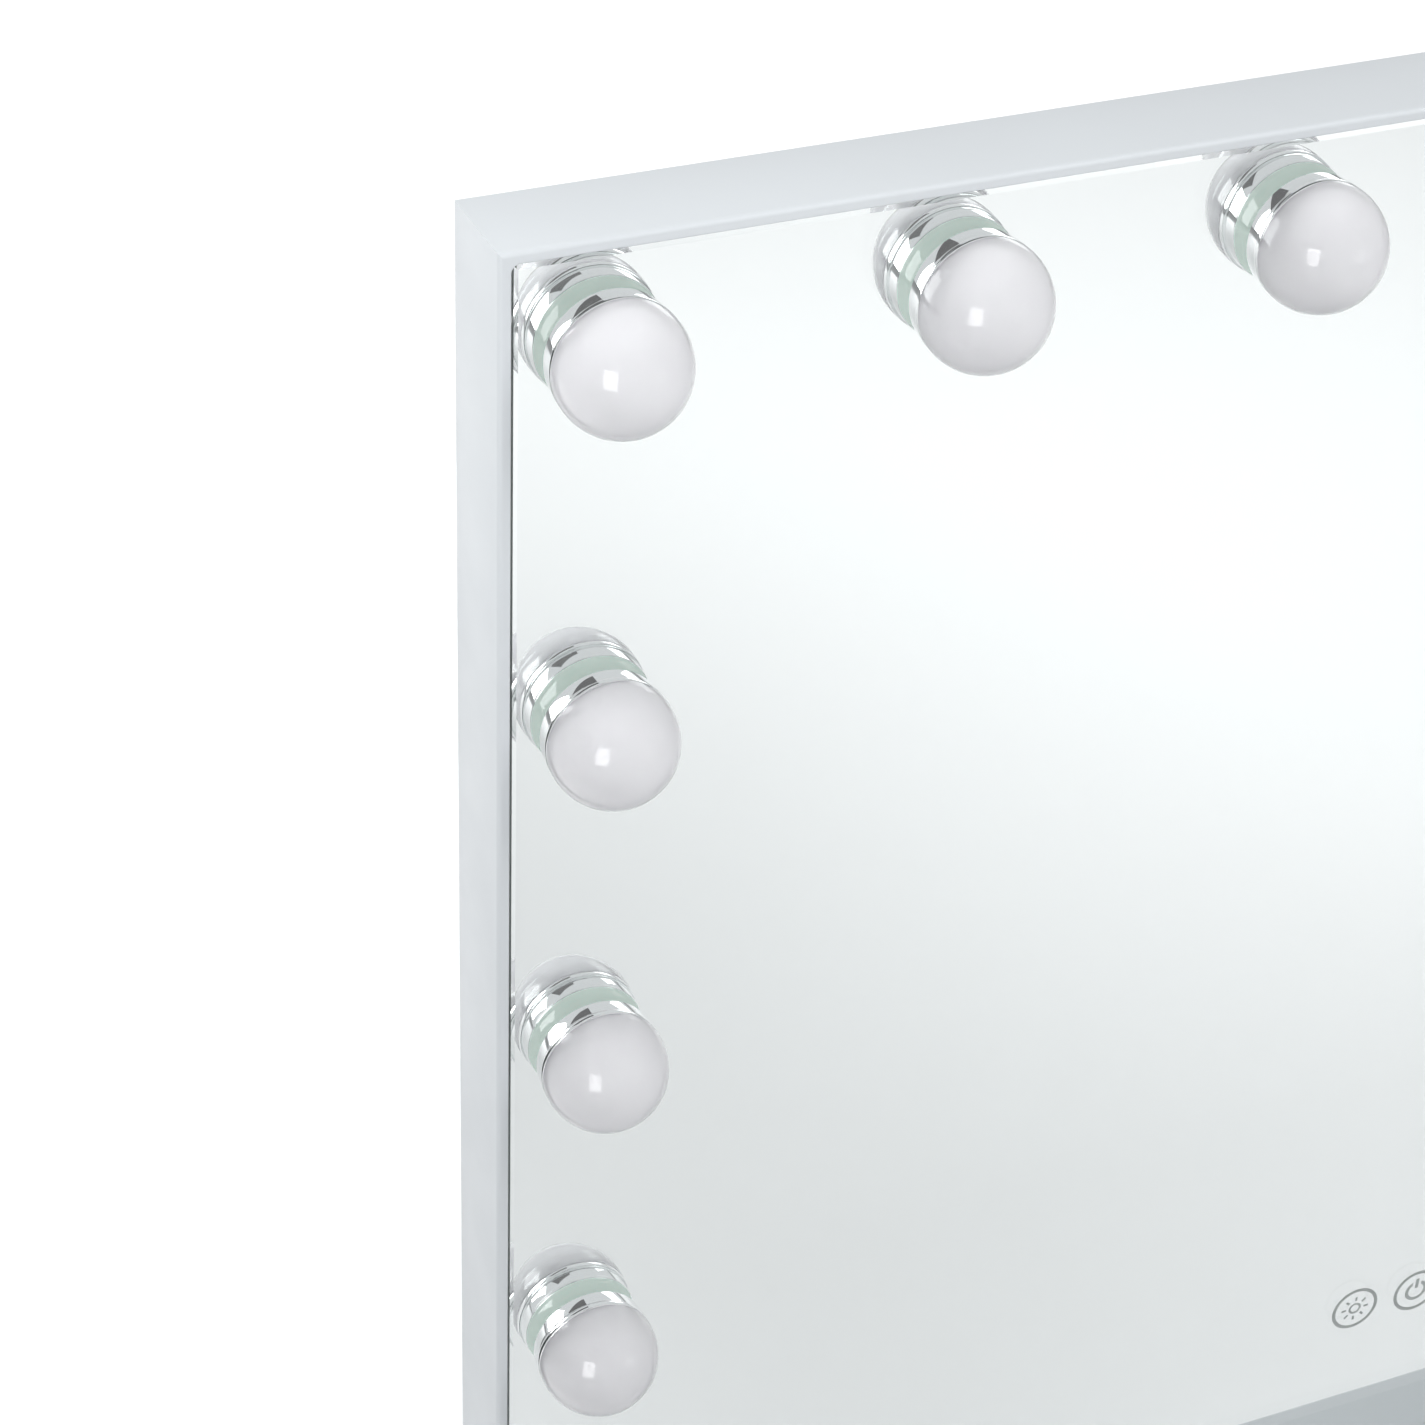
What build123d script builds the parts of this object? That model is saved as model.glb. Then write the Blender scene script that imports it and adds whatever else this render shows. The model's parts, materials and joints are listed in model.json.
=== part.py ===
from build123d import *
import os
from math import asin, cos, degrees, pi, radians, sin, sqrt

# Lighted vanity mirror: a slim folded-steel frame round a bulb-studded glass, on a tilting table stand.
# X runs across the mirror, the mirror faces -Y, Z is up. The origin is on the table under the base's middle.
# All sizes are millimetres.

# ---- Driving dimensions ----
mirror_width = 580.0
mirror_height = 480.0
sheet = 1.4                  # frame sheet thickness
lip_width = 3.0              # front lip round the glass
frame_depth = 28.1
rear_flange = 12.0
glass_front = -26.0          # Y of the glass's front face
glass_thickness = 5.0
silver_thickness = 0.3       # silvering with its protective paint and safety film

bulbs_across = 7
bulbs_down = 5
bulb_side_inset = 26.0       # bulb axis to the frame's outer side
bulb_top_inset = 28.2        # bulb axis to the frame's outer top
bulb_pitch_down = 99.0

base_width = 320.0
base_length = 120.0          # front to back
base_height = 12.0           # table to the top of the base
foot_height = 2.0            # how far the feet stand below the base's skirt
mirror_lift = 8.0            # gap from the base to the mirror

pivot_y = 16.0
pivot_z = 60.0
bracket_x = 75.5             # inner face of each upright's web

# ---- Worked out from them ----
lip_front = glass_front - sheet
frame_rear = lip_front + frame_depth
silver_front = glass_front + glass_thickness
silver_rear = silver_front + silver_thickness
mirror_bottom = base_height + mirror_lift
mirror_middle = mirror_bottom + mirror_height / 2
mirror_top = mirror_bottom + mirror_height
bulb_pitch_across = (mirror_width - 2 * bulb_side_inset) / (bulbs_across - 1)
top_bulb_z = mirror_top - bulb_top_inset

os.makedirs("parts", exist_ok=True)


def save(node, *solids):
    """Writes one node: a single solid, or a group of separate solids."""
    export_step(solids[0] if len(solids) == 1 else Compound(children=list(solids)), f"parts/{node}.step")


def plate(outline, front, thickness):
    """A flat plate parallel to the glass, from Y = front towards the rear, its outline drawn in X and Z."""
    return extrude(Plane.XZ.offset(-front - thickness) * outline, amount=thickness)


def rod(x, z, radius, front, rear):
    """A round rod along Y."""
    return plate(Pos(x, z) * Circle(radius), front, rear - front)


def cross_rod(radius, start, end):
    """A round rod along X on the tilt axis."""
    return Pos((start + end) / 2, pivot_y, pivot_z) * Rot(0, 90, 0) * Cylinder(radius, end - start)


def block(x, y, z):
    """A box from three (low, high) pairs."""
    middle = [(low + high) / 2 for low, high in (x, y, z)]
    return Pos(*middle) * Box(*[high - low for low, high in (x, y, z)])


def bulb_places():
    """The bulb axes, from the lower left, up, across the top and down the right side."""
    rows = [top_bulb_z - k * bulb_pitch_down for k in range(bulbs_down)]
    columns = [-mirror_width / 2 + bulb_side_inset + k * bulb_pitch_across for k in range(bulbs_across)]
    left = [(columns[0], z) for z in reversed(rows)]
    top = [(x, rows[0]) for x in columns[1:-1]]
    right = [(columns[-1], z) for z in rows]
    return left + top + right


bulbs = bulb_places()

# ---- Fastener places on the back ----
panel_thickness = 1.0
panel_inset = 3.0            # back panel edge to the frame's outer face
panel_front = frame_rear
panel_rear = panel_front + panel_thickness
panel_screw_inset = 8.0      # screw axis to the frame's outer face
panel_screw_radius = 1.5
panel_screw_span = 200.0     # outer screws of the top and bottom rows to the middle
panel_screw_pitch = 150.0    # along the sides
side_x = mirror_width / 2 - panel_screw_inset
low_z, high_z = mirror_bottom + panel_screw_inset, mirror_top - panel_screw_inset
panel_screws = [(x, z) for x in (-panel_screw_span, 0, panel_screw_span) for z in (low_z, high_z)]
panel_screws += [(x, mirror_middle + dz) for x in (-side_x, side_x)
                 for dz in (-panel_screw_pitch, 0, panel_screw_pitch)]

# ---- Frame: four mitred rails folded from sheet, welded at the corners ----
lip_corner_radius = 2.0
edge_radius = 1.2
outer = Pos(0, (lip_front + frame_rear) / 2, mirror_middle) * Box(mirror_width, frame_depth, mirror_height)
outer = fillet(outer.faces().sort_by(Axis.Y)[0].edges(), edge_radius)
cavity = Rectangle(mirror_width - 2 * sheet, mirror_height - 2 * sheet)
front_opening = RectangleRounded(
    mirror_width - 2 * lip_width, mirror_height - 2 * lip_width, lip_corner_radius)
rear_opening = Rectangle(mirror_width - 2 * rear_flange, mirror_height - 2 * rear_flange)
at_middle = Pos(0, mirror_middle)
ring = outer - plate(at_middle * cavity, glass_front, frame_depth - 2 * sheet)
ring -= plate(at_middle * front_opening, lip_front - 1, sheet + 2)
ring -= plate(at_middle * rear_opening, frame_rear - sheet - 1, sheet + 2)
for x, z in panel_screws:
    ring -= rod(x, z, panel_screw_radius + 0.05, frame_rear - sheet - 1, frame_rear + 1)

# A bend relief at the rear end of each corner, where the folded sheet was notched.
relief_radius = 0.9
relief_from_rear = 2.4
for sx in (-1, 1):
    for z in (mirror_bottom, mirror_top):
        notch = Pos(sx * mirror_width / 2, frame_rear - relief_from_rear, z) * Sphere(relief_radius)
        ring -= notch

mitre_reach = 60.0           # deeper than any part of the section
half_w, half_h = mirror_width / 2, mirror_height / 2


def mitred(corner_a, corner_b):
    """The part of the ring between two outer corners, cut at 45 degrees at both."""
    def inward(corner):
        x, z = corner
        return (x - mitre_reach * (1 if x > 0 else -1), z - mitre_reach * (1 if z > 0 else -1))

    region = make_face(Polyline(corner_a, corner_b, inward(corner_b), inward(corner_a), close=True))
    return (ring & plate(at_middle * region, lip_front - 1, frame_depth + 2)).solids()[0]


corners = {
    "top": ((-half_w, half_h), (half_w, half_h)),
    "bottom": ((-half_w, -half_h), (half_w, -half_h)),
    "left": ((-half_w, -half_h), (-half_w, half_h)),
    "right": ((half_w, -half_h), (half_w, half_h)),
}
for side, (a, b) in corners.items():
    save(f"frame_{side}_rail", mitred(a, b))

# ---- Corner brackets: steel angles that square the four corners from inside ----
bracket_leg = 26.0
bracket_sheet = 1.5
bracket_y = (-18.0, -6.0)


def corner_bracket(sx, sz):
    x0, z0 = sx * (half_w - sheet), mirror_middle + sz * (half_h - sheet)
    tall = block(sorted((x0, x0 - sx * bracket_sheet)), bracket_y, sorted((z0, z0 - sz * bracket_leg)))
    flat = block(sorted((x0, x0 - sx * bracket_leg)), bracket_y, sorted((z0, z0 - sz * bracket_sheet)))
    return (tall + flat).solids()[0]


save("corner_brackets", *[corner_bracket(sx, sz) for sx in (-1, 1) for sz in (-1, 1)])

# ---- Glass, silvering and the two touch key windows in it ----
glass_gap = 0.6              # play round the glass inside the frame
bevel_width = 3.0            # ground bevel round the glass's front edge, partly under the lip
bevel_depth = 1.1
stem_radius = 5.0
stem_hole = stem_radius + 0.1
key_z = 93.6
key_x = {"mode": -9.8, "power": 12.2}
key_radius = 8.0
key_line = 1.2

glass_outline = Rectangle(mirror_width - 2 * (sheet + glass_gap), mirror_height - 2 * (sheet + glass_gap))
stem_holes = Sketch() + [Pos(x, z - mirror_middle) * Circle(stem_hole) for x, z in bulbs]
pierced = at_middle * (glass_outline - stem_holes)
glass = plate(pierced, glass_front, glass_thickness)
glass_face = glass.faces().sort_by(Axis.Y)[0]
glass = chamfer(glass_face.outer_wire().edges(), bevel_width, bevel_depth, reference=glass_face)
save("mirror_glass", glass.solids()[0])

key_ring = Circle(key_radius) - Circle(key_radius - key_line)
sun_radius, sun_line = 2.2, 0.8
ray_length, ray_reach, ray_count = 1.6, 3.9, 8
power_radius, power_gap, power_bar_length = 3.9, 3.0, 3.8
sun = Circle(sun_radius) - Circle(sun_radius - sun_line)
sun_rays = [Rot(0, 0, 360 / ray_count * k) * Pos(ray_reach, 0) * Rectangle(ray_length, sun_line)
            for k in range(ray_count)]
power_top = Pos(0, power_radius - 1.3) * Rectangle(power_gap, power_radius)
power_arc = Circle(power_radius) - Circle(power_radius - key_line) - power_top
power_bar = Pos(0, power_radius - 1.0) * Rectangle(key_line, power_bar_length)
marks = {"mode": key_ring + sun + sun_rays, "power": key_ring + power_arc + power_bar}
key_marks = [Pos(key_x[name], key_z) * mark for name, mark in marks.items()]
silver = plate(pierced, silver_front, silver_thickness)
windows = [plate(mark, silver_front, silver_thickness) for mark in key_marks]
for window in windows:
    silver -= window
# The glass inside each closed ring keeps its silvering, so the layer is several islands.
save("mirror_silvering", *silver.solids())
save("touch_key_windows", *[s for window in windows for s in window.solids()])

# ---- Foam strips bonded between the back of the glass and the frame's rear flange ----
strip_width = 8.0
strip_corner_clearance = 30.0
strip_y = (silver_rear, frame_rear - sheet)
strip_gap = 0.1              # to the frame's side
screw_relief = 8.0           # depth of the strips' holes for the panel screws
inner_x, inner_z = half_w - sheet - strip_gap, half_h - sheet - strip_gap
strips = []
for sz in (-1, 1):
    edge = mirror_middle + sz * inner_z
    reach = inner_x - strip_corner_clearance
    strips.append(block((-reach, reach), strip_y, sorted((edge, edge - sz * strip_width))))
for sx in (-1, 1):
    edge = sx * inner_x
    reach = inner_z - strip_corner_clearance
    z_span = (mirror_middle - reach, mirror_middle + reach)
    strips.append(block(sorted((edge, edge - sx * strip_width)), strip_y, z_span))
for x, z in panel_screws:
    hole = rod(x, z, panel_screw_radius + 0.5, frame_rear - screw_relief, frame_rear)
    strips = [strip - hole for strip in strips]
save("glass_retaining_strips", *[strip.solids()[0] for strip in strips])

# ---- Bulbs: chrome collar with a hollow threaded stem, LED board, milky globe, nut ----
collar_radius = 15.4
rim_radius = 15.9
collar_height = 6.2
rim_height = 1.9
rim_edge = 0.4               # bevels of the rim and of the groove under it
cup_radius = 14.5
cup_floor = 1.4
stem_bore = 3.4
stem_end = 8.0               # thread behind the glass
stem_length = glass_thickness + silver_thickness + stem_end
board_thickness = 1.6
globe_radius = 16.0
globe_rise = 16.2            # half height of the globe's ellipse
globe_centre = 7.9           # height of its widest place above the glass
globe_wall = 1.2
skirt_radius = 14.3
skirt_fit = 0.5              # the inner ellipse ends this far under the globe's widest place


def bulb_at(place):
    """Turns a shape built along +Z so that it stands on the glass, pointing out of the mirror."""
    x, z = place
    return Pos(x, glass_front, z) * Rot(90, 0, 0)


def collar():
    step = collar_height - rim_height
    profile = Polyline(
        (stem_bore, -stem_length), (stem_radius, -stem_length), (stem_radius, 0), (collar_radius, 0),
        (collar_radius, step - rim_edge), (collar_radius - rim_edge, step - rim_edge / 2),
        (rim_radius, step + rim_edge), (rim_radius, collar_height - rim_edge),
        (rim_radius - rim_edge, collar_height), (cup_radius, collar_height),
        (cup_radius, cup_floor), (stem_bore, cup_floor), close=True,
    )
    return revolve(Plane.XZ * make_face(profile), Axis.Z)


def ellipse_angle(height, half_height):
    return degrees(asin((height - globe_centre) / half_height))


def globe():
    """A hollow dome, elliptical in section, whose narrower skirt plugs into the collar's cup."""
    wall_end = globe_centre - skirt_fit
    inner_radius, inner_rise = globe_radius - globe_wall, globe_rise - globe_wall
    start, stop = ellipse_angle(collar_height, globe_rise), ellipse_angle(wall_end, inner_rise)
    outside = EllipticalCenterArc((0, globe_centre), globe_radius, globe_rise, start, arc_size=90 - start)
    inside = EllipticalCenterArc((0, globe_centre), inner_radius, inner_rise, stop, arc_size=90 - stop)
    board_top = cup_floor + board_thickness
    bore = skirt_radius - globe_wall
    skirt = Polyline(
        outside @ 0, (skirt_radius, collar_height), (skirt_radius, board_top), (bore, board_top),
        (bore, wall_end - globe_wall), inside @ 0,
    )
    crown = Line(inside @ 1, outside @ 1)
    return revolve(Plane.XZ * make_face(Curve() + [outside, skirt, inside, crown]), Axis.Z)


leds_per_bulb = 6
led_size, led_height = 2.8, 0.7
led_ring = 7.5


def led_board():
    """A round board in the collar's cup, with a ring of square LEDs on it."""
    disc = Pos(0, 0, cup_floor + board_thickness / 2) * Cylinder(skirt_radius - 0.1, board_thickness)
    for k in range(leds_per_bulb):
        led = Box(led_size, led_size, led_height)
        led = Pos(led_ring, 0, cup_floor + board_thickness + led_height / 2) * led
        disc += Rot(0, 0, 360 / leds_per_bulb * k) * led
    return disc.solids()[0]


nut_flange_radius, nut_flange = 9.0, 1.0
nut_radius, nut_height = 8.0, 4.0


def bulb_nut():
    """A flanged hex nut, seated on the back of the silvering."""
    back = -glass_thickness - silver_thickness
    flange = Pos(0, 0, back - nut_flange / 2) * Cylinder(nut_flange_radius, nut_flange)
    hexagon = extrude(RegularPolygon(nut_radius, 6), amount=nut_height)
    hexagon = Pos(0, 0, back - nut_flange - nut_height) * hexagon
    bore = Cylinder(stem_radius + 0.05, nut_flange + nut_height + 1)
    bore = Pos(0, 0, back - (nut_flange + nut_height) / 2) * bore
    return flange + hexagon - bore


collar_shape, globe_shape, board_shape, nut_shape = collar(), globe(), led_board(), bulb_nut()
for number, place in enumerate(bulbs, 1):
    save(f"bulb_collar_{number:02d}", bulb_at(place) * collar_shape)
    save(f"bulb_globe_{number:02d}", bulb_at(place) * globe_shape)
save("led_boards", *[bulb_at(place) * board_shape for place in bulbs])
save("bulb_nuts", *[bulb_at(place) * nut_shape for place in bulbs])

# ---- Electrics behind the glass ----
sensor_size = 17.0
sensor_thickness = 1.6
sensors = []
for x in key_x.values():
    half = sensor_size / 2
    z_span = (key_z - half, key_z + half)
    sensors.append(block((x - half, x + half), (silver_rear, silver_rear + sensor_thickness), z_span))
save("touch_sensor_boards", *sensors)

pcb_x, pcb_z = (120.0, 180.0), (96.0, 132.0)
pcb_standoff = 3.0           # the board stands off the back panel
pcb_standoff_radius = 2.0
pcb_thickness = 1.6
pcb_rear = panel_front - pcb_standoff
pcb_front = pcb_rear - pcb_thickness
pcb = block(pcb_x, (pcb_front, pcb_rear), pcb_z)
# What stands on the board: X from its left end, Z from its lower edge, width, height, how far it stands up.
board_parts = {
    "driver": (6, 6, 14, 14, 3.1),
    "regulator": (26, 4, 8, 12, 0.7),
    "feed_plug": (40, 22, 12, 10, 2.3),
    "key_plug": (8, 25, 6, 8, 1.5),
}
for x, z, width, height, depth in board_parts.values():
    x_span, z_span = (pcb_x[0] + x, pcb_x[0] + x + width), (pcb_z[0] + z, pcb_z[0] + z + height)
    pcb += block(x_span, (pcb_front - depth, pcb_front), z_span)
for x in (pcb_x[0] + 4, pcb_x[1] - 4):
    for z in (pcb_z[0] + 3, pcb_z[1] - 3):
        pcb += rod(x, z, pcb_standoff_radius, pcb_rear, panel_front)
save("control_board", pcb.solids()[0])

jack_x, jack_z = 200.0, 62.0
jack_depth = 11.0            # body behind the back panel
jack_radius, jack_neck, jack_bezel_radius = 5.5, 3.95, 6.0
jack_bezel = 1.6
mouth_radius, mouth_floor, pin_radius = 2.8, 1.5, 1.0
jack = rod(jack_x, jack_z, jack_radius, panel_front - jack_depth, panel_front)
jack += rod(jack_x, jack_z, jack_neck, panel_front, panel_rear)
jack += rod(jack_x, jack_z, jack_bezel_radius, panel_rear, panel_rear + jack_bezel)
jack -= rod(jack_x, jack_z, mouth_radius, panel_front - jack_depth + mouth_floor, panel_rear + jack_bezel + 1)
jack += rod(jack_x, jack_z, pin_radius, panel_front - jack_depth + 1, panel_rear + jack_bezel / 2)
save("dc_inlet", jack.solids()[0])

harness_y = -10.5
wire_radius = 1.3
lead_radius = 1.0
harness_corner = 26.0        # bend radius at the two upper corners
lead_bend = 3.0
board_wire_y = pcb_front + pcb_thickness / 2   # wires meet the board's edge at mid thickness
jack_wire_y = -16.5          # the jack's lead passes in front of the harness
jack_wire_step = 34.0        # how far it runs sideways before it rises
key_wire_z = key_z + 20      # where the keys' lead meets the board


def tube(radius, points, bends):
    """A wire along straight runs joined by tangent arcs."""
    path = FilletPolyline(*points, radius=bends)
    start = Plane(origin=path @ 0, z_dir=path % 0)
    return sweep(start * Circle(radius), path=path)


left_x, right_x = bulbs[0][0], bulbs[-1][0]
low_bulb_z = bulbs[0][1]
harness = tube(
    wire_radius,
    [(left_x, harness_y, low_bulb_z), (left_x, harness_y, top_bulb_z), (right_x, harness_y, top_bulb_z),
     (right_x, harness_y, low_bulb_z)],
    harness_corner,
)
board_back = glass_front - cup_floor
wires = [harness]
corner_bulbs = [place for place in bulbs if place[1] == top_bulb_z and place[0] in (left_x, right_x)]
for x, z in bulbs:
    if (x, z) in corner_bulbs:
        # The harness cuts each upper corner, so its lead slants in from the side.
        turn = harness_corner * (1 - 1 / sqrt(2))
        inward = -1 if x > 0 else 1
        joint = (x + inward * turn, harness_y, z - turn)
        wires.append(tube(lead_radius, [(x, board_back, z), (x, harness_y, z), joint], lead_bend))
    else:
        wires[0] = wires[0] + rod(x, z, lead_radius, board_back, harness_y)
feed_z = pcb_z[0] + 10
wires.append(tube(
    wire_radius,
    [(right_x - wire_radius - 0.2, harness_y, feed_z), (pcb_x[1] + 35, harness_y, feed_z),
     (pcb_x[1] + 20, board_wire_y, feed_z), (pcb_x[1], board_wire_y, feed_z)],
    [8.0, 6.0],
))
wires.append(tube(
    wire_radius,
    [(jack_x, panel_front - jack_depth, jack_z), (jack_x, jack_wire_y, jack_z),
     (jack_x - jack_wire_step, jack_wire_y, jack_z), (jack_x - jack_wire_step, board_wire_y, jack_z + 14),
     (jack_x - jack_wire_step, board_wire_y, pcb_z[0])],
    [5.0, 8.0, 8.0],
))
wires.append(tube(
    lead_radius,
    [(key_x["power"] + sensor_size / 2, silver_rear + 3.0, key_z), (pcb_x[0] - 30, silver_rear + 3.0, key_z),
     (pcb_x[0] - 12, board_wire_y, key_wire_z), (pcb_x[0], board_wire_y, key_wire_z)],
    [20.0, 8.0],
))
save("wiring_harness", *[s for wire in wires for s in wire.solids()])

# ---- Back panel with its keyholes, screws and keyhole plates ----
keyhole_x = 200.0
keyhole_from_top = 60.0
keyhole_z = mirror_top - keyhole_from_top
keyhole_radius = 4.5
keyhole_slot = 4.4
keyhole_rise = 11.0          # centre of the round part to the top of the slot
panel_corner = 4.0
dc_hole = 4.0


def keyhole(x):
    round_end = Circle(keyhole_radius)
    rise = keyhole_rise - keyhole_slot / 2
    slot = Pos(0, rise / 2) * Rectangle(keyhole_slot, rise)
    top = Pos(0, keyhole_rise - keyhole_slot / 2) * Circle(keyhole_slot / 2)
    return Pos(x, keyhole_z) * (round_end + slot + top)


panel_outline = RectangleRounded(
    mirror_width - 2 * panel_inset, mirror_height - 2 * panel_inset, panel_corner)
panel_face = at_middle * panel_outline - keyhole(-keyhole_x) - keyhole(keyhole_x)
panel_face -= Pos(jack_x, jack_z) * Circle(dc_hole)
for x, z in panel_screws:
    panel_face -= Pos(x, z) * Circle(panel_screw_radius + 0.1)

hinge_screw_radius = 2.0
washer_thickness = 1.0
lug_sheet = 2.5
lug_inner = bracket_x - washer_thickness - lug_sheet   # inner face of each hinge bracket's web
lug_flange = 26.0
lug_screw_reach = 16.0       # above and below the pivot
lug_screws = [(side * (lug_inner - lug_flange / 2), pivot_z + dz)
              for side in (-1, 1) for dz in (-lug_screw_reach, lug_screw_reach)]
for x, z in lug_screws:
    panel_face -= Pos(x, z) * Circle(hinge_screw_radius + 0.1)
save("back_panel", plate(panel_face, panel_front, panel_thickness))

screw_head_radius = 2.8
heavy_head_radius = 3.6
screw_head = 1.6
recess_width = 0.7
panel_screw_length = 6.0


def panel_screw(x, z, radius, head_radius, seat, depth):
    """A pan-head screw with a cross recess, driven from the rear."""
    body = rod(x, z, radius, seat - depth, seat) + rod(x, z, head_radius, seat, seat + screw_head)
    for turn in (0, 90):
        recess = Rot(0, turn, 0) * Box(head_radius * 1.2, screw_head, recess_width)
        body -= Pos(x, seat + screw_head, z) * recess
    return body.solids()[0]


save("back_panel_screws", *[
    panel_screw(x, z, panel_screw_radius, screw_head_radius, panel_rear, panel_screw_length)
    for x, z in panel_screws
])

plate_sheet = 1.2
plate_width, plate_height, plate_corner = 34.0, 40.0, 3.0
keyhole_plates = []
for x in (-keyhole_x, keyhole_x):
    outline = Pos(x, keyhole_z + 3) * RectangleRounded(plate_width, plate_height, plate_corner) - keyhole(x)
    keyhole_plates.append(plate(outline, panel_front - plate_sheet, plate_sheet))
save("keyhole_plates", *keyhole_plates)

# ---- Tilt hinge: brackets on the mirror's back, uprights on the base, a clamping knob on each side ----
stud_radius = 3.0
stud_hole = stud_radius + 0.1
web_sheet = 3.0
weld_nut, weld_nut_radius = 5.0, 6.0
eye_radius = 11.0
lug_eye_radius = 14.0
lug_flange_reach = 24.0      # above and below the pivot


def mirrored(shape, side):
    """The right-hand shape, or its mirror image for the left."""
    return shape if side > 0 else mirror(shape, about=Plane.YZ)


def hinge_bracket(side):
    """A folded bracket: a flange on the back panel, a web with the pivot hole and a welded nut."""
    flange = block((lug_inner - lug_flange, lug_inner + lug_sheet), (panel_rear, panel_rear + lug_sheet),
                   (pivot_z - lug_flange_reach, pivot_z + lug_flange_reach))
    web = block((lug_inner, lug_inner + lug_sheet), (panel_rear, pivot_y),
                (pivot_z - lug_eye_radius, pivot_z + lug_eye_radius))
    web += cross_rod(lug_eye_radius, lug_inner, lug_inner + lug_sheet)
    hexagon = extrude(RegularPolygon(weld_nut_radius, 6), amount=weld_nut)
    nut = Pos(lug_inner, pivot_y, pivot_z) * Rot(0, -90, 0) * hexagon
    body = flange + web + nut
    body -= cross_rod(stud_radius + 0.05, lug_inner - weld_nut - 1, lug_inner + lug_sheet + 1)
    for dz in (-lug_screw_reach, lug_screw_reach):
        centre = lug_inner - lug_flange / 2
        hole = hinge_screw_radius + 0.1
        body -= rod(centre, pivot_z + dz, hole, panel_rear - 1, panel_rear + lug_sheet + 1)
    return mirrored(body.solids()[0], side)


upright_foot = 34.0
upright_y = (7.0, 46.0)
upright_screw_x = bracket_x + web_sheet + (upright_foot - web_sheet) / 2
upright_screw_y = (18.0, 36.0)


def upright(side):
    """A folded upright: a foot on the base and a web that tapers up to the pivot eye."""
    foot = block((bracket_x, bracket_x + upright_foot), upright_y, (base_height, base_height + web_sheet))
    eye = Pos(pivot_y, pivot_z) * Circle(eye_radius)
    sides = Polyline(
        (upright_y[0], base_height), (upright_y[1], base_height), (upright_y[1], base_height + 10),
        (pivot_y + eye_radius * cos(radians(30)), pivot_z + eye_radius * sin(radians(30))),
        (pivot_y - eye_radius * 0.8, pivot_z - eye_radius * 0.6), (upright_y[0], pivot_z - 14), close=True,
    )
    face = eye + make_face(sides) - Pos(pivot_y, pivot_z) * Circle(stud_hole)
    web = Pos(bracket_x, 0, 0) * extrude(Plane.YZ * face, amount=web_sheet)
    body = web + foot
    for y in upright_screw_y:
        body -= Pos(upright_screw_x, y, base_height) * Cylinder(hinge_screw_radius + 0.1, 10)
    return mirrored(body.solids()[0], side)


washer_radius = 9.0


def washer(side):
    """A friction washer on the upright's inner face, just clear of the turning bracket."""
    ring_face = Circle(washer_radius) - Circle(stud_hole)
    thickness = washer_thickness - 0.05
    body = Pos(bracket_x - thickness, pivot_y, pivot_z) * Rot(0, 90, 0) * extrude(ring_face, amount=thickness)
    return mirrored(body, side)


knob_radius = 14.0
knob_seat = bracket_x + web_sheet + 0.2
knob_length = 15.0
knob_boss, knob_boss_radius = 5.0, 8.0
knob_lobes = 7
knob_scallop = 3.4           # radius of the scallops between the lobes
knob_edge = 1.0


def knob(side):
    """A lobed hand knob with a boss and a threaded stud that reaches into the bracket's welded nut."""
    grip_face = Circle(knob_radius)
    for k in range(knob_lobes):
        angle = 2 * pi * k / knob_lobes
        reach = knob_radius + knob_scallop - 1.8
        grip_face -= Pos(reach * cos(angle), reach * sin(angle)) * Circle(knob_scallop)
    grip = extrude(grip_face, amount=knob_length - knob_boss)
    grip = fillet(grip.faces().sort_by(Axis.Z)[-1].edges(), knob_edge)
    body = Pos(knob_seat + knob_boss, pivot_y, pivot_z) * Rot(0, 90, 0) * grip
    body += cross_rod(knob_boss_radius, knob_seat, knob_seat + knob_boss)
    body += cross_rod(stud_radius, lug_inner - weld_nut - 2, knob_seat + 2)
    return mirrored(body.solids()[0], side)


for side, name in ((-1, "left"), (1, "right")):
    save(f"hinge_bracket_{name}", hinge_bracket(side))
    save(f"stand_upright_{name}", upright(side))
    save(f"tilt_knob_{name}", knob(side))
save("friction_washers", washer(-1), washer(1))

lug_seat = panel_rear + lug_sheet
lug_nut, lug_nut_radius = 3.0, 4.0
heavy_screw_length = 8.0
lug_fasteners = []
for x, z in lug_screws:
    lug_fasteners.append(
        panel_screw(x, z, hinge_screw_radius, heavy_head_radius, lug_seat, heavy_screw_length))
    hexagon = Pos(x, z) * (RegularPolygon(lug_nut_radius, 6) - Circle(hinge_screw_radius + 0.05))
    lug_fasteners.append(plate(hexagon, panel_front - lug_nut, lug_nut))
save("hinge_bracket_screws", *lug_fasteners)

# ---- Base: a shallow folded pan, a steel ballast plate under it, rubber feet ----
pan_sheet = 1.5
pan_corner = 14.0
pan_edge = 1.2
ballast_gap, ballast_corner = 6.0, 8.0
skirt_bottom = foot_height
ballast_thickness = 4.0
ballast_top = base_height - pan_sheet
foot_radius = 9.0
foot_edge = 0.8
foot_inset_x, foot_inset_y = 24.0, 22.0


def slab(width, length, corner, low, high):
    return Pos(0, 0, low) * extrude(RectangleRounded(width, length, corner), amount=high - low)


def screw_holes(radius):
    """The four holes for the screws that hold the uprights down."""
    return [Pos(side * upright_screw_x, y, base_height - 4) * Cylinder(radius, 20)
            for side in (-1, 1) for y in upright_screw_y]


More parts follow.
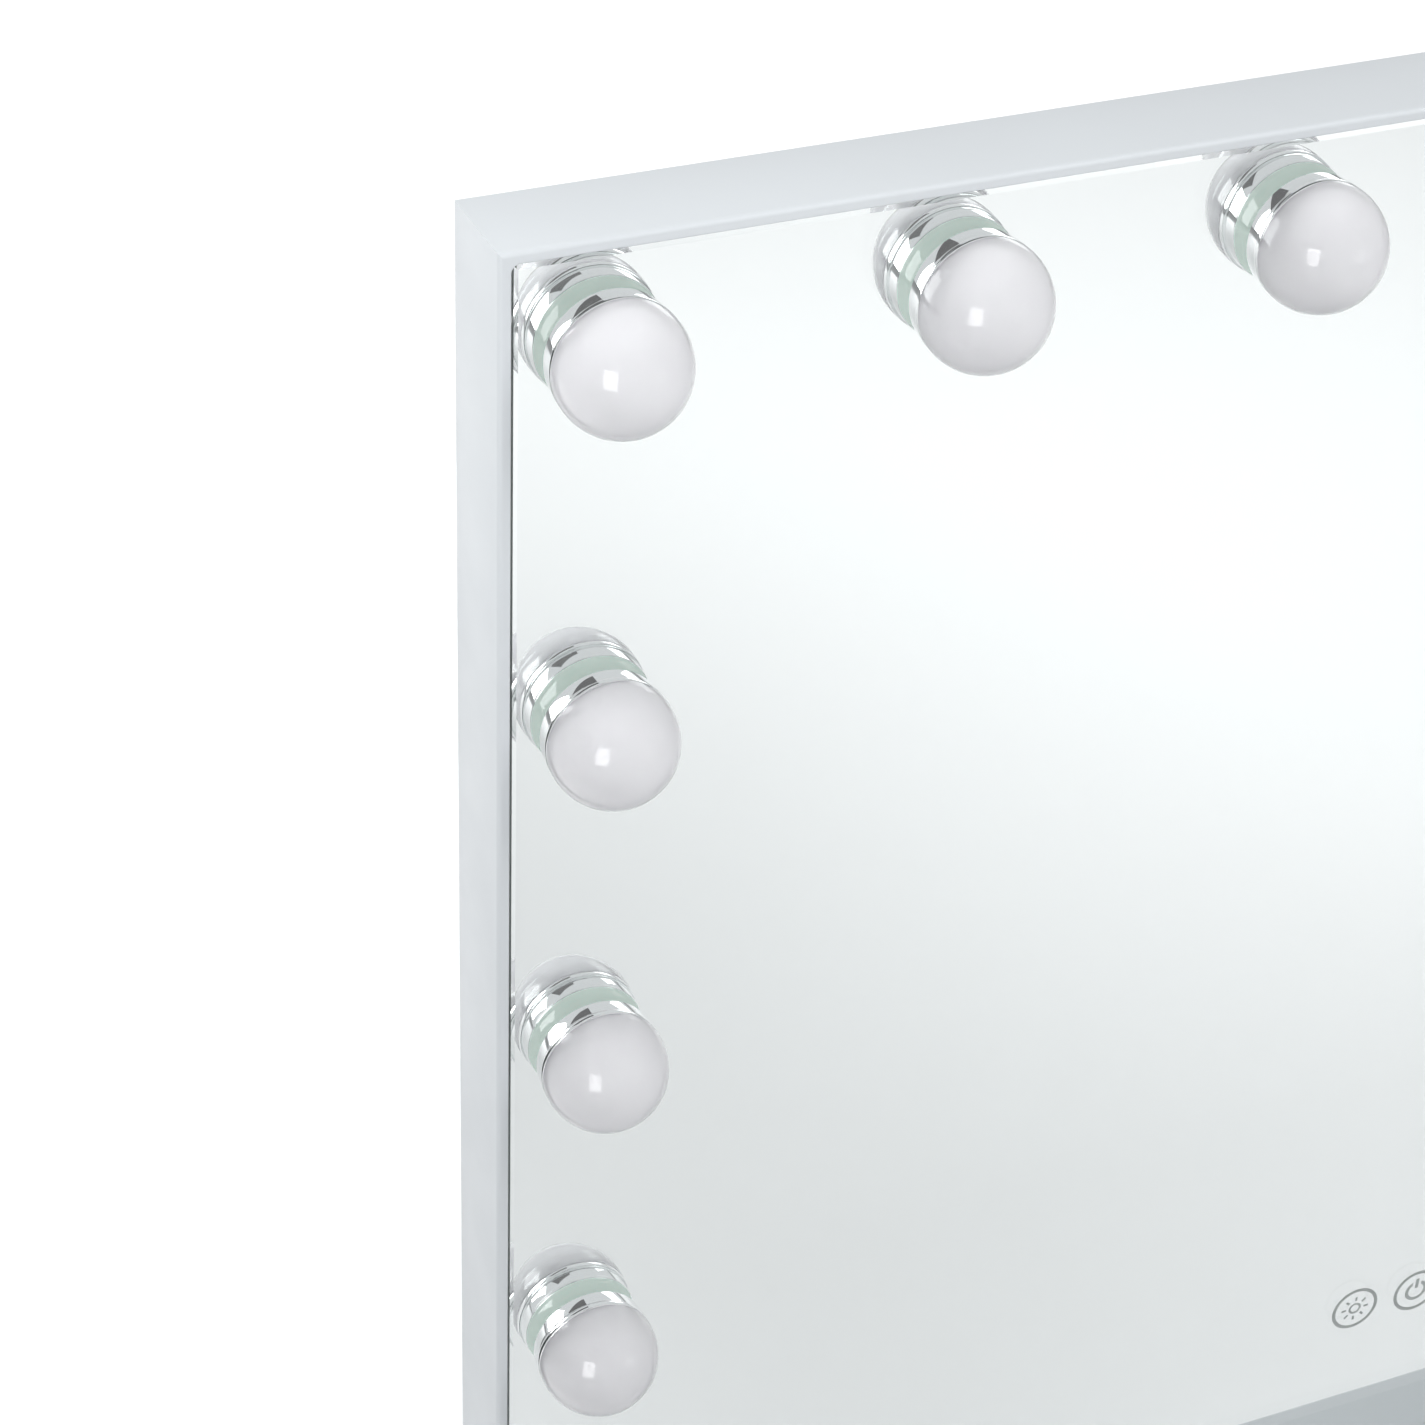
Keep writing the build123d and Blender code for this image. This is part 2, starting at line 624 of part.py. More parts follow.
pan = slab(base_width, base_length, pan_corner, skirt_bottom, base_height)
pan = fillet(pan.faces().sort_by(Axis.Z)[-1].edges(), pan_edge)
pan -= slab(base_width - 2 * pan_sheet, base_length - 2 * pan_sheet, pan_corner - pan_sheet,
            skirt_bottom - 1, base_height - pan_sheet)
ballast = slab(base_width - 2 * ballast_gap, base_length - 2 * ballast_gap, ballast_corner,
               ballast_top - ballast_thickness, ballast_top)
for hole in screw_holes(hinge_screw_radius + 0.1):
    pan -= hole
for hole in screw_holes(hinge_screw_radius + 0.05):
    ballast -= hole
save("base_pan", pan.solids()[0])
save("base_ballast", ballast.solids()[0])

foot = Cylinder(foot_radius, ballast_top - ballast_thickness)
foot = chamfer(foot.faces().sort_by(Axis.Z)[0].edges(), foot_edge)
foot_mid = (ballast_top - ballast_thickness) / 2
feet = [Pos(sx * (base_width / 2 - foot_inset_x), sy * (base_length / 2 - foot_inset_y), foot_mid) * foot
        for sx in (-1, 1) for sy in (-1, 1)]
save("rubber_feet", *feet)


def down_screw(x, y):
    """A pan-head screw driven down through an upright's foot into the ballast."""
    seat = base_height + web_sheet
    body = Pos(x, y, seat + screw_head / 2) * Cylinder(heavy_head_radius, screw_head)
    body += Pos(x, y, seat - heavy_screw_length / 2) * Cylinder(hinge_screw_radius, heavy_screw_length)
    for turn in (0, 90):
        recess = Rot(0, 0, turn) * Box(heavy_head_radius * 1.2, recess_width, screw_head)
        body -= Pos(x, y, seat + screw_head) * recess
    return body.solids()[0]


save("upright_screws", *[
    down_screw(side * upright_screw_x, y) for side in (-1, 1) for y in upright_screw_y
])
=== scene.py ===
# %% [markdown]
# # A lighted vanity mirror
#
# This lesson dresses an engineered model of a tabletop makeup mirror. The mirror has a slim folded-metal
# frame, fifteen round bulbs in chrome collars on the face of the glass, and a low tilting stand behind
# it.
#
# The engineered model arrives as a fixed frame of named parts. Nothing in it is moved. Each part either
# keeps its shape and gets a better finish, or is hidden while a finer piece stands in its place. Every
# length is in metres, X runs across the mirror, the mirror faces -Y and Z is up.

import json
import math

import bmesh
import bpy
import numpy as np
from mathutils import Matrix, Vector


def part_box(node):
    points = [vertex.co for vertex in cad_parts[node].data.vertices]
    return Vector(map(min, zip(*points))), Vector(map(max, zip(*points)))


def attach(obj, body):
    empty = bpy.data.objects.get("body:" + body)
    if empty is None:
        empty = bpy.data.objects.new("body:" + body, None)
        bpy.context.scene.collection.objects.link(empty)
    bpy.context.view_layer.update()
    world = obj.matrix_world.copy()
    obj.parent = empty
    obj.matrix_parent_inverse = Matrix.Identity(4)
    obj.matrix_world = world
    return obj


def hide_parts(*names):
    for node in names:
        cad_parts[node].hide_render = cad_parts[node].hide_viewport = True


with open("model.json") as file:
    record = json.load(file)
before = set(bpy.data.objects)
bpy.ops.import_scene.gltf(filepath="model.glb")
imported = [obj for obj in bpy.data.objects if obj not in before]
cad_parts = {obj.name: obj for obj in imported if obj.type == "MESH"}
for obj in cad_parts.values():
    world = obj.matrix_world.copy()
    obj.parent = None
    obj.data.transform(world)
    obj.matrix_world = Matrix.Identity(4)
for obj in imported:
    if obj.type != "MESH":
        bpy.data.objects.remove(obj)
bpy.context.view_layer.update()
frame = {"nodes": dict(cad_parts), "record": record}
MM = 0.001

# %% [markdown]
# ## Measures read from the parts
#
# The pieces made below have to sit exactly where the engineered ones do, so their places are read from
# the parts' boxes instead of being typed in again. The glass gives the plane that every bulb stands on,
# and each collar's box gives its bulb's axis.

# %% Read the main measures
glass_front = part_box("mirror_glass")[0].y
rail_box = {side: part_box(f"frame_{side}_rail") for side in ("left", "right", "top", "bottom")}
frame_low = Vector((rail_box["left"][0].x, rail_box["top"][0].y, rail_box["bottom"][0].z))
frame_high = Vector((rail_box["right"][1].x, rail_box["top"][1].y, rail_box["top"][1].z))
collar_names = sorted(name for name in frame["nodes"] if name.startswith("bulb_collar_"))
bulb_axes = []
for name in collar_names:
    low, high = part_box(name)
    bulb_axes.append(((low.x + high.x) / 2, (low.z + high.z) / 2))
print("glass front at", round(glass_front / MM, 2), "mm;", len(bulb_axes), "bulbs")

# %% [markdown]
# ## The camera first
#
# The mirror is seen from above its upper left corner with a moderately long lens, close enough that the
# frame runs out of the picture on the right and below. The camera is placed from the corner bulb: a
# position, a direction and a small roll are all it needs. A long lens keeps the frame's edges nearly
# parallel.

# %% Place the camera
FROM_CORNER_BULB = Vector((-252.7, -615.2, 361.0)) * MM
LENS, SENSOR = 87.18, 36.0
RIGHTWARDS, INTO_VIEW = Vector((0.9188, -0.3931, 0.0361)), Vector((0.3432, 0.7502, -0.5651))

corner_x, corner_z = min(x for x, z in bulb_axes), max(z for x, z in bulb_axes)
corner_bulb = Vector((corner_x, glass_front, corner_z))
camera_data = bpy.data.cameras.new("camera")
camera = bpy.data.objects.new("camera", camera_data)
bpy.context.scene.collection.objects.link(camera)
camera_data.sensor_width = SENSOR
camera_data.lens = LENS
camera_data.clip_start, camera_data.clip_end = 0.05, 60.0
view_right = RIGHTWARDS.normalized()
view_back = -INTO_VIEW.normalized()
view_right = (view_right - view_back * view_right.dot(view_back)).normalized()
view_up = view_back.cross(view_right)
turn = Matrix((view_right, view_up, view_back)).transposed()
camera.matrix_world = Matrix.Translation(corner_bulb + FROM_CORNER_BULB) @ turn.to_4x4()
bpy.context.scene.camera = camera
print("camera at", [round(v, 4) for v in camera.location])

# %% [markdown]
# ## Helpers for meshes
#
# Almost every new piece is a grid of points: one direction of the grid follows an outline and the other
# carries it along or around a path. One helper turns such a grid into a mesh. It works out all the corner
# numbers of all the faces at once, as arrays, which is much quicker than adding faces one by one.

# %% Grid to mesh
MERGE_DISTANCE = 1e-7


def grid_mesh(name, points, closed=False):
    """A mesh from an array of rows x columns x 3 points: face (i, j) joins the points (i, j), (i+1, j),
    (i+1, j+1), (i, j+1). In a closed grid the last point of each row is joined back to its first."""
    rows, columns = points.shape[:2]
    i, j = np.meshgrid(np.arange(rows - 1), np.arange(columns - (not closed)), indexing="ij")
    i, j = i.ravel(), j.ravel()
    here, after, beside = i * columns, (i + 1) * columns, (j + 1) % columns
    faces = np.stack([here + j, after + j, after + beside, here + beside], 1)
    mesh = bpy.data.meshes.new(name)
    mesh.from_pydata(points.reshape(-1, 3).tolist(), [], faces.tolist())
    return mesh


def piece_from(name, mesh, sharp_degrees=35.0):
    """Makes a mesh an object: doubles merged, normals outwards, smooth but for its sharp edges."""
    work = bmesh.new()
    work.from_mesh(mesh)
    bmesh.ops.remove_doubles(work, verts=work.verts, dist=MERGE_DISTANCE)
    bmesh.ops.dissolve_degenerate(work, edges=work.edges, dist=MERGE_DISTANCE / 10)
    bmesh.ops.recalc_face_normals(work, faces=work.faces)
    work.to_mesh(mesh)
    work.free()
    mesh.shade_smooth()
    mesh.set_sharp_from_angle(angle=math.radians(sharp_degrees))
    made = bpy.data.objects.new(name, mesh)
    bpy.context.scene.collection.objects.link(made)
    return made


def arc(centre, radius, start, end, steps):
    """Points on a circle in the outline's plane, from one angle to another in degrees, ends included."""
    angle = np.radians(np.linspace(start, end, steps))
    return np.stack([centre[0] + radius * np.cos(angle), centre[1] + radius * np.sin(angle)], 1)


print("helpers ready")

# %% [markdown]
# ## Helpers for finishes
#
# A finish is one Principled shader and a few noise textures. Real surfaces are never one flat value:
# paint has a fine orange-peel skin, chrome has faint polishing marks, and moulded plastic varies a little
# in gloss. Two small helpers add those: one drives the roughness between two values, the other adds a
# shallow bump. Both read Object coordinates, which are metres here, so a noise scale of 1000 gives
# features of about a millimetre.

# %% Shader helpers
def new_finish(name, colour, roughness=0.5, metallic=0.0, **sockets):
    """A material with one Principled shader. Extra sockets are named with underscores for spaces."""
    material = bpy.data.materials.new(name)
    material.use_nodes = True
    shader = material.node_tree.nodes["Principled BSDF"]
    shader.inputs["Base Color"].default_value = (*colour, 1.0)
    shader.inputs["Roughness"].default_value = roughness
    shader.inputs["Metallic"].default_value = metallic
    for socket, value in sockets.items():
        shader.inputs[socket.replace("_", " ")].default_value = value
    return material


def noise(material, scale, detail=3.0, stretch=(1, 1, 1), seed=0.0):
    """A noise texture on Object coordinates; stretch scales its axes, seed moves it."""
    nodes, links = material.node_tree.nodes, material.node_tree.links
    place = nodes.new("ShaderNodeTexCoord")
    mapping = nodes.new("ShaderNodeMapping")
    texture = nodes.new("ShaderNodeTexNoise")
    mapping.inputs["Scale"].default_value = stretch
    mapping.inputs["Location"].default_value = (seed, seed * 0.7, seed * 1.3)
    texture.inputs["Scale"].default_value = scale
    texture.inputs["Detail"].default_value = detail
    links.new(place.outputs["Object"], mapping.inputs["Vector"])
    links.new(mapping.outputs["Vector"], texture.inputs["Vector"])
    return texture.outputs["Fac"]


def vary(material, socket, source, low, high, source_low=0.3, source_high=0.7):
    """Drives a shader socket from low to high as the source runs over its usual range."""
    nodes, links = material.node_tree.nodes, material.node_tree.links
    ramp = nodes.new("ShaderNodeMapRange")
    limits = {"From Min": source_low, "From Max": source_high, "To Min": low, "To Max": high}
    for name, value in limits.items():
        ramp.inputs[name].default_value = value
    links.new(source, ramp.inputs["Value"])
    links.new(ramp.outputs["Result"], nodes["Principled BSDF"].inputs[socket])


def tint(material, source, first, second, source_low=0.35, source_high=0.65):
    """Blends the base colour between two colours over the source's range."""
    nodes, links = material.node_tree.nodes, material.node_tree.links
    ramp = nodes.new("ShaderNodeValToRGB")
    ramp.color_ramp.elements[0].position = source_low
    ramp.color_ramp.elements[1].position = source_high
    ramp.color_ramp.elements[0].color = (*first, 1.0)
    ramp.color_ramp.elements[1].color = (*second, 1.0)
    links.new(source, ramp.inputs["Fac"])
    links.new(ramp.outputs["Color"], nodes["Principled BSDF"].inputs["Base Color"])


def bump(material, source, depth, strength=1.0):
    """A shallow relief of the given depth in metres."""
    nodes, links = material.node_tree.nodes, material.node_tree.links
    relief = nodes.new("ShaderNodeBump")
    relief.inputs["Distance"].default_value = depth
    relief.inputs["Strength"].default_value = strength
    links.new(source, relief.inputs["Height"])
    links.new(relief.outputs["Normal"], nodes["Principled BSDF"].inputs["Normal"])


def wear(piece, material):
    """Puts one finish on a piece, in place of any it came with."""
    piece.data.materials.clear()
    piece.data.materials.append(material)


print("finish helpers ready")

# %% [markdown]
# ## Powder-coated frame metal
#
# The frame and the stand are folded steel with a satin pearl-grey powder coat. Powder melts into a skin
# with a very fine orange peel, so the finish has two scales: a slow drift in gloss over several
# centimetres and a bump well under a millimetre. A little metallic keeps the edges bright, as pearl
# pigment does.

# %% Frame paint
def powder_coat(name, light, dark, roughness):
    """A satin powder coat that drifts between two near colours."""
    coat = new_finish(name, light, roughness, metallic=0.25)
    tint(coat, noise(coat, 9.0, 4.0), dark, light)
    vary(coat, "Roughness", noise(coat, 38.0, 5.0, seed=3.1), roughness - 0.05, roughness + 0.06)
    bump(coat, noise(coat, 1500.0, 2.0), 0.006 * MM, 0.6)
    return coat


frame_paint = powder_coat("pearl_powder_coat", (0.520, 0.545, 0.564), (0.500, 0.524, 0.542), 0.36)
panel_paint = powder_coat("white_powder_coat", (0.70, 0.71, 0.72), (0.67, 0.68, 0.69), 0.50)
print("paints:", frame_paint.name, panel_paint.name)

# %% [markdown]
# ## The frame's rails
#
# Each rail is a C-shaped section folded from sheet: a narrow front lip, a deep side and a flange at the
# rear. It could be made from a box with bevels, but the section is easy to state as an outline, and
# carrying the outline from one mitred end to the other gives a clean rail with a soft front edge. At a
# mitre, a point that lies a distance d in from the outer face also starts that same distance in from the
# corner, which is all that a 45-degree cut means. Near its ends the lip's inner edge swings out along a
# small arc, so that the four rails together leave a rounded corner round the glass.

# %% Rail outline
SHEET = 1.4 * MM
LIP = 3.0 * MM
LIP_CLEARANCE = 0.05 * MM    # keeps the lip's back face just off the glass
FLANGE = 12.0 * MM
FRONT_ROUND = 1.25 * MM
LIP_ROUND = 0.35 * MM
REAR_ROUND = 0.6 * MM
LIP_CORNER = 2.0 * MM
CORNER_STATIONS = 7


def rail_outline():
    """The closed section as (distance in from the outer face, Y) points, with arcs at its rounded edges."""
    front, rear = frame_low.y, frame_high.y
    lip_back = glass_front - LIP_CLEARANCE
    return np.concatenate([
        arc((REAR_ROUND, rear - REAR_ROUND), REAR_ROUND, 90, 180, 4),
        arc((FRONT_ROUND, front + FRONT_ROUND), FRONT_ROUND, 180, 270, 9),
        arc((LIP - LIP_ROUND, front + LIP_ROUND), LIP_ROUND, 270, 360, 5),
        [(LIP, lip_back), (SHEET, lip_back)],
        [(SHEET, rear - SHEET), (FLANGE, rear - SHEET), (FLANGE, rear)],
    ])


outline = rail_outline()
print("rail outline:", len(outline), "points")

# %% Make the four rails
def rail(name, start, end):
    """Carries the outline from one outer corner to the other. At each end, station x gives every point the
    place corner + d inward + x along. On the lip's inner edge d grows by r - sqrt(r^2 - (x - r)^2), which is
    a quarter circle."""
    start, end = np.array(start), np.array(end)
    along = (end - start) / np.linalg.norm(end - start)
    middle = np.array([(frame_low.x + frame_high.x) / 2, (frame_low.z + frame_high.z) / 2])
    inward = np.array([-along[1], along[0]])
    inward = inward * np.sign(np.dot(middle - start, inward))
    first = LIP_CORNER * (1 - 1 / math.sqrt(2))
    travel = first + (LIP_CORNER - first) * np.sin(np.linspace(0, math.pi / 2, CORNER_STATIONS))
    swing = LIP_CORNER - np.sqrt(np.maximum(LIP_CORNER ** 2 - (travel - LIP_CORNER) ** 2, 0))
    on_lip = (outline[:, 0] > LIP - LIP_ROUND * 1.01) & (outline[:, 1] < glass_front + SHEET / 2)
    depth = outline[None, :, 0] + on_lip[None, :] * swing[:, None]
    reach = outline[None, :, 0] + travel[:, None] - first * ~on_lip[None, :]
    near, far = (corner + depth[..., None] * inward + reach[..., None] * direction
                 for corner, direction in ((start, along), (end, -along)))
    stations = np.concatenate([near, far[::-1]])
    y = np.broadcast_to(outline[None, :, 1], stations.shape[:2])
    points = np.stack([stations[..., 0], y, stations[..., 1]], 2)
    mesh = grid_mesh(name, points, closed=True)
    work = bmesh.new()
    work.from_mesh(mesh)
    work.verts.ensure_lookup_table()
    count, rows = len(outline), len(stations)
    for first_vertex in (0, (rows - 1) * count):
        work.faces.new(work.verts[first_vertex:first_vertex + count])
    work.to_mesh(mesh)
    work.free()
    return piece_from(name, mesh, 40.0)


left, right = frame_low.x, frame_high.x
bottom, top = frame_low.z, frame_high.z
rail_corners = {
    "top": ((left, top), (right, top)),
    "bottom": ((left, bottom), (right, bottom)),
    "left": ((left, bottom), (left, top)),
    "right": ((right, bottom), (right, top)),
}
for side, (start, end) in rail_corners.items():
    made = rail(f"{side}_rail", start, end)
    wear(made, frame_paint)
    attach(made, "mirror")
    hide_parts(f"frame_{side}_rail")
    print(made.name, "faces", len(made.data.polygons))

# %% [markdown]
# ## Glass and silvering
#
# A mirror is two things: a pane of clear glass and a silver film on its back. Everything seen in it is
# therefore seen through the pane twice, which gives the faint green of thick glass and the gap between an
# object standing on the front and its reflection. A metal plane alone would lose both. The silver film's
# front is set a hair inside the pane, so that no ray has to choose between two surfaces in the same
# place. All round its edge the film carries a painted shade, a thin dark band that stands for the shadow
# under the frame's lip and shows as a thin dark line just inside the frame.

# %% Glass and silver finishes
SILVER_SINK = 0.03 * MM
SILVER_COLOUR = (0.935, 0.945, 0.945)
# painted shade along the film's edge, standing for the shadow under the frame's lip: colour, width, blur
EDGE_SHADE_COLOUR, EDGE_SHADE_WIDTH, EDGE_SHADE_BLUR = (0.13, 0.155, 0.145), 3.8 * MM, 0.05 * MM

float_glass = new_finish("float_glass", (0.965, 0.985, 0.980), 0.0, IOR=1.50, Transmission_Weight=1.0)
vary(float_glass, "Roughness", noise(float_glass, 6.0, 2.0), 0.0, 0.004)
silver_film = new_finish("silver_film", SILVER_COLOUR, 0.0, metallic=1.0)
vary(silver_film, "Roughness", noise(silver_film, 14.0, 2.0), 0.0, 0.006)
wear(frame["nodes"]["mirror_glass"], float_glass)


def forward_copy(node, name, distance):
    """A copy of a flat engineered part, moved a little towards the front, with its doubles merged."""
    mesh = frame["nodes"][node].data.copy()
    places = np.empty(len(mesh.vertices) * 3)
    mesh.vertices.foreach_get("co", places)
    places = places.reshape(-1, 3)
    places[:, 1] -= distance
    mesh.vertices.foreach_set("co", places.ravel())
    return piece_from(name, mesh, 20.0)


def paint_edge_shade(material):
    """Paints the lip's shade on the film as a dark band near its rectangle's edge, where a point's distance
    to the edge is min(W - |x - x0|, H - |z - z0|) for a rectangle of half sizes W and H centred at (x0, z0)."""
    nodes, links = material.node_tree.nodes, material.node_tree.links

    def arithmetic(operation, first, second=0.0):
        node = nodes.new("ShaderNodeMath")
        node.operation = operation
        for socket, value in zip(node.inputs, (first, second)):
            if isinstance(value, float):
                socket.default_value = value
            else:
                links.new(value, socket)
        return node.outputs["Value"]

    place, split, band = (nodes.new(f"ShaderNode{kind}") for kind in ("TexCoord", "SeparateXYZ", "MapRange"))
    links.new(place.outputs["Object"], split.inputs["Vector"])
    low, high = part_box("mirror_silvering")
    across = arithmetic("ABSOLUTE", arithmetic("SUBTRACT", split.outputs["X"], (low.x + high.x) / 2))
    along = arithmetic("ABSOLUTE", arithmetic("SUBTRACT", split.outputs["Z"], (low.z + high.z) / 2))
    nearest = arithmetic("MINIMUM", arithmetic("SUBTRACT", (high.x - low.x) / 2, across),
                         arithmetic("SUBTRACT", (high.z - low.z) / 2, along))
    band.inputs["From Min"].default_value = EDGE_SHADE_WIDTH - EDGE_SHADE_BLUR
    band.inputs["From Max"].default_value = EDGE_SHADE_WIDTH + EDGE_SHADE_BLUR
    links.new(nearest, band.inputs["Value"])
    tint(material, band.outputs["Result"], EDGE_SHADE_COLOUR, SILVER_COLOUR, 0.0, 1.0)
    links.new(band.outputs["Result"], nodes["Principled BSDF"].inputs["Metallic"])


# paints the lip's shadow as a dark, non-metallic band round the film's edge
paint_edge_shade(silver_film)
film = forward_copy("mirror_silvering", "silver_film", SILVER_SINK)
wear(film, silver_film)
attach(film, "mirror")
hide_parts("mirror_silvering")
print("silver film faces", len(film.data.polygons))

# %% [markdown]
# ## Touch key marks
#
# The two keys are drawn in the silvering: a frosted ring with a simple sign in each. They lie in the
# plane of the film, so they look sunk behind the glass.

# %% Key marks
key_frost = new_finish("key_frost", (0.52, 0.55, 0.54), 0.55)
vary(key_frost, "Roughness", noise(key_frost, 2500.0), 0.45, 0.65)
marks = forward_copy("touch_key_windows", "touch_key_marks", SILVER_SINK)
wear(marks, key_frost)
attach(marks, "mirror")
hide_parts("touch_key_windows")
print("key marks faces", len(marks.data.polygons))

# %% [markdown]
# ## Bulbs: chrome collar and milky globe
#
# Each bulb is a chrome collar on the glass with a milky dome in it. Both are turned shapes, so each is
# one outline spun round the bulb's axis. The collar has a narrow bead at its front and a taller, slightly
# slimmer band behind it, with a small groove between them. The globe is a hollow dome, a little taller
# than a sphere, whose skirt drops into the collar.

# %% Turned shapes
TURN_STEPS = 96


def turned(name, outline_rh, place):
    """Spins a closed outline of (radius, height above the glass) about a bulb's axis: at turn t a point is
    (r cos t, -height, r sin t) from the axis's foot on the glass."""
    angle = np.linspace(0, 2 * math.pi, TURN_STEPS, endpoint=False)
    radius, height = outline_rh[:, 0], outline_rh[:, 1]
    x = place[0] + radius[:, None] * np.cos(angle)[None, :]
    z = place[1] + radius[:, None] * np.sin(angle)[None, :]
    y = np.broadcast_to((glass_front - height)[:, None], x.shape)
    mesh = grid_mesh(name, np.stack([x, y, z], 2), closed=True)
    return piece_from(name, mesh, 50.0)


STEM_BORE, STEM_RADIUS, STEM_BACK = 3.4 * MM, 5.0 * MM, -13.3 * MM
BAND_RADIUS, BEAD_RADIUS = 15.4 * MM, 15.9 * MM
COLLAR_HEIGHT, BEAD_HEIGHT = 6.2 * MM, 1.9 * MM
BAND_EDGE, BEAD_EDGE, GROOVE = 0.35 * MM, 0.5 * MM, 0.35 * MM
CUP_RADIUS, CUP_FLOOR = 14.5 * MM, 1.4 * MM
SEAT_GAP = 0.12 * MM         # the gasket's thickness under the collar


def collar_outline():
    """The collar's closed outline, as (radius, height above the glass), from the stem round to the cup."""
    step = COLLAR_HEIGHT - BEAD_HEIGHT
    bead_centre = BEAD_RADIUS - BEAD_EDGE
    return np.concatenate([
        [(STEM_BORE, STEM_BACK), (STEM_RADIUS, STEM_BACK), (STEM_RADIUS, SEAT_GAP)],
        arc((BAND_RADIUS - BAND_EDGE, SEAT_GAP + BAND_EDGE), BAND_EDGE, 270, 360, 4),
        [(BAND_RADIUS, step - 0.45 * MM), (BAND_RADIUS - GROOVE, step - 0.2 * MM),
         (BAND_RADIUS - GROOVE, step + 0.05 * MM)],
        arc((bead_centre, step + 0.6 * MM), BEAD_EDGE, 290, 360, 4),
        arc((bead_centre, COLLAR_HEIGHT - BEAD_EDGE), BEAD_EDGE, 0, 90, 5),
        [(CUP_RADIUS, COLLAR_HEIGHT), (CUP_RADIUS, CUP_FLOOR)],
        [(STEM_BORE, CUP_FLOOR), (STEM_BORE, STEM_BACK)],
    ])


GLOBE_RADIUS, GLOBE_RISE, GLOBE_CENTRE = 16.0 * MM, 16.2 * MM, 7.9 * MM
GLOBE_WALL, SKIRT_RADIUS, SKIRT_FOOT = 1.2 * MM, 14.3 * MM, 3.05 * MM
GLOBE_SEAT = COLLAR_HEIGHT + 0.06 * MM       # the dome starts just clear of the collar's rim
INSIDE_START = GLOBE_CENTRE - 0.5 * MM
BORE_TOP = GLOBE_CENTRE - 1.9 * MM


def dome(radius, rise, start_height, steps):
    """Half an ellipse's outline from a height up to the pole: r = a cos t, h = centre + b sin t."""
    start = math.asin((start_height - GLOBE_CENTRE) / rise)
    t = np.linspace(start, math.pi / 2, steps)
    return np.stack([radius * np.cos(t), GLOBE_CENTRE + rise * np.sin(t)], 1)


def globe_outline():
    """The globe's closed outline: down the inside from the pole, round the skirt and up the outside."""
    outside = dome(GLOBE_RADIUS, GLOBE_RISE, GLOBE_SEAT, 40)
    inside = dome(GLOBE_RADIUS - GLOBE_WALL, GLOBE_RISE - GLOBE_WALL, INSIDE_START, 30)
    bore = SKIRT_RADIUS - GLOBE_WALL
    skirt = [(bore, BORE_TOP), (bore, SKIRT_FOOT), (SKIRT_RADIUS, SKIRT_FOOT), (SKIRT_RADIUS, GLOBE_SEAT)]
    return np.concatenate([inside[::-1], skirt, outside])


print("collar outline", len(collar_outline()), "globe outline", len(globe_outline()))

# %% Chrome and milky finishes
chrome = new_finish("polished_chrome", (0.86, 0.865, 0.87), 0.03, metallic=1.0)
vary(chrome, "Roughness", noise(chrome, 300.0, 4.0, stretch=(1, 6, 1)), 0.02, 0.06)
milky = new_finish(
    "milky_plastic", (0.85, 0.81, 0.935), 0.07, IOR=1.49, Subsurface_Weight=0.85, Subsurface_Scale=0.012,
)
milky.node_tree.nodes["Principled BSDF"].inputs["Subsurface Radius"].default_value = (1.0, 0.95, 1.0)
tint(milky, noise(milky, 60.0, 2.0), (0.84, 0.80, 0.925), (0.86, 0.82, 0.945))
vary(milky, "Roughness", noise(milky, 120.0, 3.0), 0.06, 0.08)
# painted light: the gasket's faint green glow stands for the light that runs inside the pane
gasket_painted_glow = new_finish("gasket_with_painted_glow", (0.86, 0.97, 0.91), 0.5, Emission_Strength=0.36)
gasket_shader = gasket_painted_glow.node_tree.nodes["Principled BSDF"]
gasket_shader.inputs["Emission Color"].default_value = (0.88, 1.0, 0.93, 1.0)
vary(gasket_painted_glow, "Roughness", noise(gasket_painted_glow, 500.0), 0.4, 0.6)
print("bulb finishes:", chrome.name, milky.name, gasket_painted_glow.name)

# %% Face the collar's foot with its gasket
def face_gasket(collar, place):
    """Gives the gasket finish to the faces of the collar's foot, the flat ring that presses on the glass. Its
    faint glow stands for the light that runs inside the pane."""
    mesh = collar.data
    mesh.materials.append(gasket_painted_glow)
    centres = np.empty(len(mesh.polygons) * 3)
    mesh.polygons.foreach_get("center", centres)
    centres = centres.reshape(-1, 3)
    radius = np.hypot(centres[:, 0] - place[0], centres[:, 2] - place[1])
    foot = (np.abs(glass_front - centres[:, 1] - SEAT_GAP) < SEAT_GAP / 2) & (radius > STEM_RADIUS)
    mesh.polygons.foreach_set("material_index", foot.astype(np.int32))


# %% Fit fifteen bulbs
for name, place in zip(collar_names, bulb_axes):
    number = name[-2:]
    collar = turned(f"collar_{number}", collar_outline(), place)
    wear(collar, chrome)
    face_gasket(collar, place)
    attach(collar, "mirror")
    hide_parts(name)
    globe = turned(f"globe_{number}", globe_outline(), place)
    wear(globe, milky)
    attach(globe, "mirror")
    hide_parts(f"bulb_globe_{number}")
print("bulbs:", len(bulb_axes), "faces each", len(collar.data.polygons) + len(globe.data.polygons))

# %% [markdown]
# ## Finishes for the parts that keep their shape
#
# The rest of the engineered parts already have the right shape: the stand, the back, the screws and what
# is inside. Each gets the finish that its material slot names.

